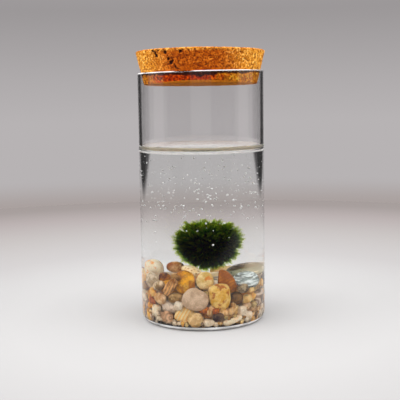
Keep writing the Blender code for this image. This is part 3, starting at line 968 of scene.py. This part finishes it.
# Looks of stone as they show behind the glass, in screen values: its lighter colour, its darker
# colour, the colour of its marks, the marks' pattern and how much of it
STONES = {
    "cream": ((228, 198, 142), (190, 150, 88), (170, 100, 30), "stain", 0.5),
    "speckled": ((242, 222, 190), (222, 195, 150), (200, 118, 40), "specks", 0.8),
    "white": ((226, 212, 190), (192, 172, 146), (150, 118, 80), "stain", 0.4),
    "honey": ((226, 180, 104), (196, 140, 56), (160, 82, 12), "stain", 0.6),
    "ochre": ((200, 142, 40), (150, 90, 15), (226, 180, 90), "stain", 0.5),
    "rust": ((178, 104, 30), (138, 72, 14), (98, 46, 8), "stripes", 0.5),
    "tan": ((196, 156, 106), (152, 112, 66), (218, 188, 142), "stripes", 0.5),
    "pink": ((204, 172, 140), (176, 142, 112), (148, 110, 80), "rings", 0.4),
    "brown": ((146, 108, 64), (102, 70, 40), (70, 45, 24), "stain", 0.6),
    "olive": ((164, 138, 90), (118, 95, 56), (205, 180, 128), "veins", 0.5),
    "grey": ((184, 164, 138), (142, 122, 98), (214, 198, 174), "veins", 0.5),
    "slate": ((104, 84, 64), (68, 54, 40), (150, 128, 104), "rings", 0.5),
}
# The looks of the front stones, by the number in the node's name
FRONT_STONES = {
    1: ((162, 138, 122), (116, 95, 80), (85, 65, 50), "veins", 0.5),
    2: ((208, 184, 150), (148, 120, 85), (240, 226, 198), "veins", 0.8),
    3: ((186, 148, 116), (146, 110, 80), (115, 84, 60), "rings", 0.6),
    4: ((246, 222, 168), (234, 202, 140), (208, 150, 60), "stripes", 0.7),
    5: ((214, 184, 135), (165, 130, 78), (150, 98, 36), "stain", 0.5),
    6: ((188, 136, 72), (136, 88, 35), (100, 58, 18), "stripes", 0.5),
    7: ((98, 74, 56), (60, 44, 30), (128, 102, 80), "specks", 0.5),
    8: ((238, 218, 186), (202, 172, 128), (190, 128, 55), "stain", 0.5),
    9: ((220, 190, 138), (150, 112, 58), (110, 68, 22), "stain", 0.6),
    10: ((222, 204, 180), (170, 146, 116), (140, 108, 72), "stain", 0.4),
    11: ((198, 166, 130), (145, 110, 72), (108, 78, 42), "stain", 0.5),
    12: ((228, 210, 186), (160, 134, 102), (108, 78, 48), "stain", 0.6),
    13: ((228, 180, 110), (178, 116, 42), (150, 72, 12), "spots", 0.7),
    14: ((225, 192, 150), (186, 140, 88), (165, 92, 28), "stain", 0.6),
    15: ((206, 190, 172), (164, 142, 120), (138, 112, 88), "stain", 0.4),
    16: ((172, 136, 88), (112, 80, 40), (196, 170, 122), "specks", 0.6),
    17: ((198, 170, 142), (178, 148, 120), (150, 116, 90), "stain", 0.4),
    18: ((226, 190, 112), (198, 146, 52), (160, 86, 8), "spots", 0.9),
    19: ((104, 70, 30), (60, 36, 12), (130, 96, 50), "stain", 0.5),
    20: ((204, 172, 135), (128, 96, 60), (82, 54, 26), "stain", 0.6),
    21: ((140, 114, 92), (102, 80, 62), (196, 174, 152), "rings", 0.85),
    22: ((208, 188, 162), (166, 143, 112), (138, 110, 76), "veins", 0.5),
    23: ((218, 194, 160), (150, 118, 78), (108, 78, 42), "stain", 0.6),
    24: ((208, 156, 98), (140, 86, 36), (98, 54, 18), "stripes", 0.5),
    25: ((214, 152, 30), (156, 96, 10), (238, 190, 80), "stain", 0.6),
    26: ((226, 200, 146), (190, 154, 86), (190, 106, 20), "spots", 0.8),
    27: ((172, 106, 22), (140, 80, 10), (112, 60, 6), "stripes", 0.4),
    28: ((152, 130, 98), (74, 57, 36), (188, 168, 136), "stain", 0.5),
    29: ((204, 168, 112), (144, 104, 52), (112, 74, 32), "stripes", 0.5),
    30: ((178, 116, 42), (94, 50, 12), (68, 36, 10), "stain", 0.6),
    31: ((254, 242, 216), (246, 228, 194), (224, 150, 72), "spots", 0.9),
    32: ((234, 192, 132), (150, 88, 26), (118, 58, 10), "stain", 0.6),
    33: ((246, 226, 186), (222, 190, 136), (160, 106, 50), "specks", 0.7),
}
# The turn of a stone's pattern about the line of sight, in degrees
PATTERN_TURNS = {4: -25, 3: 20, 25: 30, 27: -60}
# The glass's haze over the stones, and the share of light that they throw back to the eye
# at the jar's foot and at the top of the bed. Colours are divided by it, so stones low in the
# bed are painted paler to make up for the dimmer light there: painted light
HAZE = 0.030
LIGHT_AT_FOOT, LIGHT_ON_TOP = 0.46, 0.70
BED_TOP = 15.0 * MM
DARKEST, BRIGHTEST = 0.003, 0.93


def own_colour(shown, light):
    """A stone's own colour, from how it shows in the light that reaches it."""
    colour = np.array(srgb(*shown))
    colour = (colour - HAZE * (0.5 + 0.5 * colour / colour.max())) / light
    return tuple(np.maximum(colour * min(1.0, BRIGHTEST / colour.max()), DARKEST))


def stone_material(name, stone, seed, centre=(0.0, 0.0, 0.0), turn=None):
    """Mottled stone with fine grain and one pattern of its own."""
    # Painted light: the lower a stone, the paler its colour, making up for the dimmer light there
    rise = min(centre[2] / BED_TOP, 1.0) if turn is not None else 0.5
    light = LIGHT_AT_FOOT + (LIGHT_ON_TOP - LIGHT_AT_FOOT) * rise
    base, second, accent = [own_colour(shown, light) for shown in stone[:3]]
    pattern, amount = stone[3:]
    surface, nodes, look = new_material(name)
    chance = np.random.default_rng(seed)
    offset = tuple(chance.uniform(-1.0, 1.0, 3) * MM)
    lean = (chance.uniform(-0.3, 0.3), math.radians(turn or 0.0), chance.uniform(-0.3, 0.3))
    start = nodes.add("VectorMath", {0: nodes.place(), 1: centre}, operation="SUBTRACT").outputs[0]
    place = nodes.add("Mapping", {"Vector": start, "Location": offset, "Rotation": lean}).outputs[0]
    spot = tuple(chance.uniform(-0.3, 0.3, 3))
    apart = nodes.add("VectorMath", {0: place, 1: spot}, operation="ADD").outputs[0]
    broad = nodes.noise(apart, 210.0, 4.0, 0.6)
    fine = nodes.noise(apart, 2400.0, 3.0, 0.65)
    colour = nodes.mix(nodes.step(broad, 0.40, 0.60), base, second)
    share = stone_pattern(nodes, place, apart, pattern)
    colour = nodes.mix(nodes.times(share, amount), colour, accent)
    grain = nodes.plus(0.52, nodes.times(fine, 0.90))
    colour = nodes.scaled(colour, grain)
    look("Base Color", colour)
    look("Roughness", nodes.plus(0.25, nodes.times(broad, 0.35)))
    look("Specular IOR Level", 0.12)
    height = nodes.plus(nodes.times(broad, 3.0), fine)
    look("Normal", nodes.bump(height, 0.12 * MM, 0.6))
    return surface


def stone_pattern(nodes, place, apart, pattern):
    """Where a stone has its marks, from 0 to 1: place is about its middle, apart is its own spot."""
    if pattern == "stripes":
        values = {"Vector": place, "Scale": 210.0, "Distortion": 1.6, "Detail": 2.0}
        values["Detail Scale"] = 1.4
        wave = nodes.add("TexWave", values, bands_direction="X").outputs[1]
        return nodes.step(wave, 0.45, 0.85)
    if pattern == "rings":
        values = {"Vector": place, "Scale": 190.0, "Distortion": 1.6, "Detail": 1.0}
        wave = nodes.add("TexWave", values, wave_type="RINGS", rings_direction="Y").outputs[1]
        return nodes.step(wave, 0.35, 0.95)
    if pattern == "specks":
        return nodes.minus(1.0, nodes.step(nodes.cells(apart, 620.0)["Distance"], 0.20, 0.42))
    if pattern == "spots":
        return nodes.step(nodes.noise(apart, 260.0, 3.0, 0.6), 0.54, 0.62)
    if pattern == "veins":
        ridge = nodes.math("ABSOLUTE", nodes.minus(nodes.noise(apart, 220.0, 3.0), 0.5))
        return nodes.minus(1.0, nodes.step(ridge, 0.01, 0.07))
    return nodes.step(nodes.noise(apart, 190.0, 4.0, 0.6), 0.50, 0.62)


# How the stones' surface departs from the CAD's plain ovals: how far it swells, its facets, and
# its soft lumps and fine grain with their length and their height in mm. Facets have a number,
# the least share of the height that one leaves, and how much it takes off past that
STONE_SWELL = 0.34 * MM
STONE_FACETS = 7, 0.80, 0.75
STONE_LUMPS = 3.2 * MM, 0.16
STONE_GRAIN = 0.9 * MM, 0.045
# The room that stones leave at the jar's wall and at its floor
WALL_ROOM, FLOOR_ROOM = 0.12 * MM, 0.1 * MM


def refined(node):
    """A CAD node's surface made finer and rounder, as points and faces."""
    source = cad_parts[node].data
    work = bmesh.new()
    work.from_mesh(source)
    bmesh.ops.remove_doubles(work, verts=work.verts, dist=0.005 * MM)
    bmesh.ops.dissolve_degenerate(work, edges=work.edges, dist=0.001 * MM)
    mesh = bpy.data.meshes.new("refining")
    work.to_mesh(mesh)
    work.free()
    holder = new_object("refining", mesh)
    smoother = holder.modifiers.new("smoother", "SUBSURF")
    smoother.levels = smoother.render_levels = 2
    result = holder.evaluated_get(bpy.context.evaluated_depsgraph_get()).to_mesh()
    verts = np.array([v.co[:] for v in result.vertices])
    normals = np.array([v.normal[:] for v in result.vertices])
    faces = [tuple(p.vertices) for p in result.polygons]
    bpy.data.objects.remove(holder)
    bpy.data.meshes.remove(mesh)
    return verts, normals, faces


def blunted(verts, middle, facets, chance):
    """Points pressed back towards the middle where they stand out past flat facets."""
    count, least, taken = facets
    for towards in unit(chance.normal(0.0, 1.0, (count, 3))):
        height = (verts - middle) @ towards
        over = np.clip(height - height.max() * chance.uniform(least, 1.0), 0.0, None)
        verts = verts - towards * (taken * over)[:, None]
    return verts


def weathered(verts, normals, seed):
    """Stone points with blunt facets, soft lumps and a fine grain."""
    verts = verts + normals * STONE_SWELL
    verts = blunted(verts, verts.mean(axis=0), STONE_FACETS, np.random.default_rng(seed))
    shift = Vector((seed, -seed, 0.5 * seed))
    rise = np.zeros(len(verts))
    for length, height in (STONE_LUMPS, STONE_GRAIN):
        rise += height * np.array([noise.noise(Vector(p) / length + shift) for p in verts])
    return verts + normals * (rise * MM)[:, None]


def build_pebbles():
    names = sorted(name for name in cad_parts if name.startswith("pebble_"))
    for name in names:
        number = int(name[-2:])
        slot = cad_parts[name].data.materials[0].name.split(".")[0]
        stone = FRONT_STONES.get(number, STONES[slot.replace("stone_", "")])
        verts, normals, faces = refined(name)
        verts = keep_inside(weathered(verts, normals, number))
        low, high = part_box(name)
        turn = PATTERN_TURNS.get(number, 25.0 * math.sin(number))
        surface = stone_material(f"stone_{number:02d}", stone, number, tuple((low + high) / 2), turn)
        add_piece(f"stone_{number:02d}", verts, faces, [surface], slot, [name])


def keep_inside(verts):
    """Points kept off the jar's wall and floor."""
    away = np.maximum(from_axis(verts), NEAR)
    verts = verts.copy()
    verts[:, :2] *= np.minimum(1.0, (INSIDE_RADIUS - WALL_ROOM) / away)[:, None]
    verts[:, 2] = np.maximum(verts[:, 2], BASE_THICKNESS + FLOOR_ROOM)
    return verts


# Small stones that show at the front. Of each: its azimuth in degrees, its middle's distance from
# the axis and height, its width, height and depth, all in mm, and its kind
SMALL_STONES = [
    (0.6, 26.5, 10.2, 5.5, 3.6, 4.0, "rust"),
    (4.9, 28.6, 4.1, 5.3, 3.6, 3.6, "white"),
    (20.5, 27.6, 8.3, 5.7, 3.3, 3.6, "tan"),
    (60.0, 28.0, 9.6, 5.2, 4.0, 3.8, "olive"),
    (41.0, 28.5, 8.2, 4.8, 5.2, 3.6, "white"),
    (-25.0, 28.8, 12.2, 4.6, 4.6, 3.4, "white"),
    (-30.0, 25.0, 26.0, 4.8, 3.4, 3.6, "brown"),
    (9.5, 26.0, 20.4, 4.0, 3.6, 3.4, "cream"),
    (-37.0, 28.6, 3.6, 3.2, 2.2, 2.6, "pink"),
    (-47.0, 28.8, 4.4, 4.6, 2.8, 2.8, "grey"),
]
# The kinds of all other gravel, the commoner ones twice
GRAVEL_KINDS = (
    "cream", "honey", "ochre", "rust", "tan", "tan", "brown", "brown", "olive", "pink", "grey",
    "slate", "white",
)
# Places tried for gravel: in all of the bed, and in the corner at the foot of the wall
GRAVEL_TRIES = 9000
CORNER_TRIES = 9000
CORNER_REACH = 23.0 * MM
CORNER_TOP = 7.0 * MM
GRAVEL_SMALLEST = 1.25 * MM
CORNER_SMALLEST = 0.70 * MM
GRAVEL_LARGEST = 4.2 * MM
# Above this height no gravel stands between a stone and the glass, so near before the stone, and
# below it only the smallest
FOOT_GRAVEL = 4.0 * MM
CLEAR_BEFORE = 8.0 * MM
FOOT_LARGEST = 0.9 * MM
GRAVEL_TOP = 20.0 * MM
# Its half-sizes as shares of the room that it has, and how far out it shows and is made finer
GRAVEL_SHAPE = ((1.2, 1.6), (0.95, 1.2), (0.8, 1.0))
GRAVEL_SEEN = 20.0 * MM
GRAVEL_SEED = 8
# Its facets, and the height and fineness of its lumps against its size
GRAVEL_FACETS = 5, 0.70, 0.80
GRAVEL_LUMPS = 0.22, 1.2


def find_gaps(taken):
    """Centres and radii of small stones, each put where the most room is left.

    taken gives the centres and radii of small stones that already have their place.
    """
    points, faces = [], []
    for name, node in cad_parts.items():
        if name.startswith(("pebble_", "nugget_")):
            faces += [[len(points) + i for i in p.vertices] for p in node.data.polygons]
            points += [v.co for v in node.data.vertices]
    tree = BVHTree.FromPolygons(points, faces)
    chance = np.random.default_rng(GRAVEL_SEED)
    count = GRAVEL_TRIES + CORNER_TRIES
    in_bed = np.arange(count) < GRAVEL_TRIES
    least = np.where(in_bed, GRAVEL_SMALLEST, CORNER_SMALLEST)
    nearest = np.where(in_bed, 0.0, CORNER_REACH) / (INSIDE_RADIUS - least)
    reach = (INSIDE_RADIUS - least) * np.sqrt(chance.uniform(nearest ** 2, 1.0))
    angle = chance.uniform(0.0, 2 * math.pi, count)
    height = chance.uniform(BASE_THICKNESS + least, np.where(in_bed, GRAVEL_TOP, CORNER_TOP))
    tries = np.stack([reach * np.sin(angle), -reach * np.cos(angle), height], axis=1)
    corner = INSIDE_RADIUS - INNER_FILLET, BASE_THICKNESS + INNER_FILLET
    room = np.minimum(INSIDE_RADIUS - reach, height - BASE_THICKNESS)
    in_corner = (reach > corner[0]) & (height < corner[1])
    from_corner = INNER_FILLET - np.hypot(reach - corner[0], height - corner[1])
    room = np.where(in_corner, from_corner, room)
    for i, place in enumerate(tries):
        spot, normal, _, distance = tree.find_nearest(Vector(place))
        side = 1.0 if (Vector(place) - spot).dot(normal) > 0 else -1.0
        room[i] = min(room[i], side * distance)
        inward = Vector((-place[0], -place[1], 0.0))
        if tree.ray_cast(Vector(place), inward, CLEAR_BEFORE)[0]:
            room[i] = min(room[i], 0.0 if height[i] > FOOT_GRAVEL else FOOT_LARGEST)
    room = np.minimum(room, GRAVEL_LARGEST)
    for place, radius in taken:
        room = np.minimum(room, np.linalg.norm(tries - place, axis=1) - radius)
    found = []
    while (room > least).any():
        best = int(np.where(room > least, room, 0.0).argmax())
        found.append((tries[best], room[best]))
        left = np.linalg.norm(tries - tries[best], axis=1) - room[best]
        room = np.minimum(room, left)
    return found


def small_stone(size, seed, level):
    """A little lumpy and blunted stone of three half-sizes."""
    chance = np.random.default_rng(seed)
    verts, faces = unit_ball(level)
    power = chance.uniform(2.0, 4.0)
    verts = verts / (np.abs(verts) ** power).sum(axis=1)[:, None] ** (1.0 / power)
    share, fineness = GRAVEL_LUMPS
    lift = [noise.noise(Vector(p) * fineness + Vector((seed, 0.0, -seed))) for p in verts]
    verts = verts * (1.0 + share * np.array(lift))[:, None] * size
    return blunted(verts, 0.0, GRAVEL_FACETS, chance), faces


def random_turn(chance):
    spin = unit(chance.normal(0.0, 1.0, 3))
    return np.array(Matrix.Rotation(chance.uniform(0.0, 2 * math.pi), 3, Vector(spin)))


def build_gravel():
    """Small stones between and under the pebbles, joined in one piece."""
    chance = np.random.default_rng(GRAVEL_SEED)
    kinds = sorted(set(GRAVEL_KINDS))
    surfaces = []
    for seed, kind in enumerate(kinds, 100):
        surfaces.append(stone_material(f"gravel_{kind}", STONES[kind], seed))
    points, faces, slots = [], [], []
    total = 0

    def put(verts, made_faces, kind):
        nonlocal total
        points.append(keep_inside(verts))
        faces.extend(tuple(total + v for v in face) for face in made_faces)
        slots.extend([kinds.index(kind)] * len(made_faces))
        total += len(verts)

    taken = []
    for number, (azimuth, reach, height, wide, tall, deep, kind) in enumerate(SMALL_STONES):
        half_sizes = np.array((wide, deep, tall)) * MM / 2
        verts, made_faces = small_stone(half_sizes, number, 3)
        verts = verts @ np.array(Matrix.Rotation(math.radians(azimuth), 3, "Z")).T
        angle = math.radians(azimuth)
        centre = np.array((reach * math.sin(angle), -reach * math.cos(angle), height)) * MM
        put(verts + centre, made_faces, kind)
        taken.append((centre, half_sizes.mean()))
    for number, (place, radius) in enumerate(find_gaps(taken), len(SMALL_STONES)):
        size = radius * np.array([chance.uniform(*ends) for ends in GRAVEL_SHAPE])
        seen = math.hypot(place[0], place[1]) > GRAVEL_SEEN and radius > GRAVEL_SMALLEST
        verts, made_faces = small_stone(size, number, 3 if seen else 2)
        verts = verts @ random_turn(chance).T + place
        put(verts, made_faces, GRAVEL_KINDS[chance.integers(len(GRAVEL_KINDS))])
    verts = np.concatenate(points)
    add_piece("gravel", verts, faces, surfaces, "gravel", ["gravel_bed"], slots=slots)


# Where the clear nugget turns pale, as shares of its width
NUGGET_TURNS_PALE = 0.30, 0.62


def nugget_glass():
    """Clear olive-grey glass that turns pale towards one side."""
    surface, nodes, look = new_material("nugget_glass")
    low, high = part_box("nugget_clear")
    x = nodes.split(nodes.place())[0]
    wisps = nodes.noise(nodes.place(stretch=(0.4, 1.0, 2.0)), 260.0, 3.0)
    side = nodes.plus(x, nodes.times(nodes.minus(wisps, 0.5), 6 * MM))
    start, end = [low.x + share * (high.x - low.x) for share in NUGGET_TURNS_PALE]
    pale = nodes.step(side, start, end)
    look("Base Color", nodes.mix(pale, (0.20, 0.20, 0.12), (0.80, 0.71, 0.50)))
    look("Transmission Weight", nodes.minus(0.85, nodes.times(pale, 0.35)))
    look("IOR", GLASS_IOR / WATER_IOR)
    look("Roughness", nodes.plus(0.12, nodes.times(wisps, 0.25)))
    look("Normal", nodes.bump(wisps, 0.4 * MM, 0.6))
    return surface


def milky_glass():
    """Milky glass with silver streaks."""
    surface, nodes, look = new_material("milky_glass")
    streak = nodes.noise(nodes.place(stretch=(0.5, 0.5, 3.0)), 300.0, 4.0, 0.6)
    colour = nodes.ramp(streak, [
        (0.30, (0.36, 0.46, 0.44)),
        (0.50, (0.74, 0.82, 0.80)),
        (0.68, (0.95, 0.97, 0.96)),
    ])
    look("Base Color", colour)
    look("Transmission Weight", nodes.minus(0.75, nodes.step(streak, 0.4, 0.6)))
    look("IOR", GLASS_IOR / WATER_IOR)
    look("Roughness", nodes.plus(0.1, nodes.times(streak, 0.3)))
    look("Normal", nodes.bump(streak, 0.3 * MM, 0.7))
    return surface


def build_nuggets():
    """Two poured drops of glass, one clear and one milky."""
    kinds = {"clear": (nugget_glass(), "nugget_glass"), "white": (milky_glass(), "milky_glass")}
    for name, (surface, slot) in kinds.items():
        verts, _, faces = refined(f"nugget_{name}")
        add_piece(f"glass_drop_{name}", verts, faces, [surface], slot, [f"nugget_{name}"])


# The air bubbles: their number, the height about which they gather and how widely, the greatest
# and the least height, and the least and greatest radius, all in mm
BUBBLES = 330
BUBBLE_SEED = 21
BUBBLE_GATHER = 67.0, 10.0
BUBBLE_HIGHEST, BUBBLE_LOWEST = 85.0, 30.0
BUBBLE_RADII = 0.20, 0.58
# How far they keep from the glass and from the moss's middle
BUBBLE_TO_GLASS = 1.2 * MM
BUBBLE_TO_MOSS = 15.5 * MM


def bubble_painted_glint():
    """Air under water, white and mostly diffuse, which shows as painted glints."""
    surface, nodes, look = new_material("bubble_painted_glint")
    look("Base Color", (1.0, 1.0, 1.0))
    look("Transmission Weight", 0.3)
    look("IOR", 1.33)
    look("Roughness", nodes.times(nodes.noise(nodes.place(), 500.0), 0.1))
    return surface


def build_bubbles():
    """Small air bubbles that hang in the water, most of them above the moss."""
    chance = np.random.default_rng(BUBBLE_SEED)
    ball, ball_faces = unit_ball(2)
    points, faces = [], []
    centre = sum(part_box("moss_ball"), Vector()) / 2
    while len(points) < BUBBLES:
        reach = (INSIDE_RADIUS - BUBBLE_TO_GLASS) * math.sqrt(chance.uniform())
        angle = chance.uniform(0.0, 2 * math.pi)
        height = min(chance.normal(*BUBBLE_GATHER), BUBBLE_HIGHEST) * MM
        place = Vector((reach * math.sin(angle), -reach * math.cos(angle), height))
        if height < BUBBLE_LOWEST * MM or (place - centre).length < BUBBLE_TO_MOSS:
            continue
        least, greatest = BUBBLE_RADII
        size = (least + (greatest - least) * chance.uniform() ** 2) * MM
        faces += [tuple(len(points) * len(ball) + v for v in face) for face in ball_faces]
        points.append(ball * size + np.array(place))
    add_piece("bubble_painted_glints", np.concatenate(points), faces, [bubble_painted_glint()], "water")


bpy.context.scene.view_settings.view_transform = "Standard"
add_camera()
light_scene()
lay_floor()
build_jar()
build_water()
build_cork()
build_moss()
build_pebbles()
build_gravel()
build_nuggets()
build_bubbles()
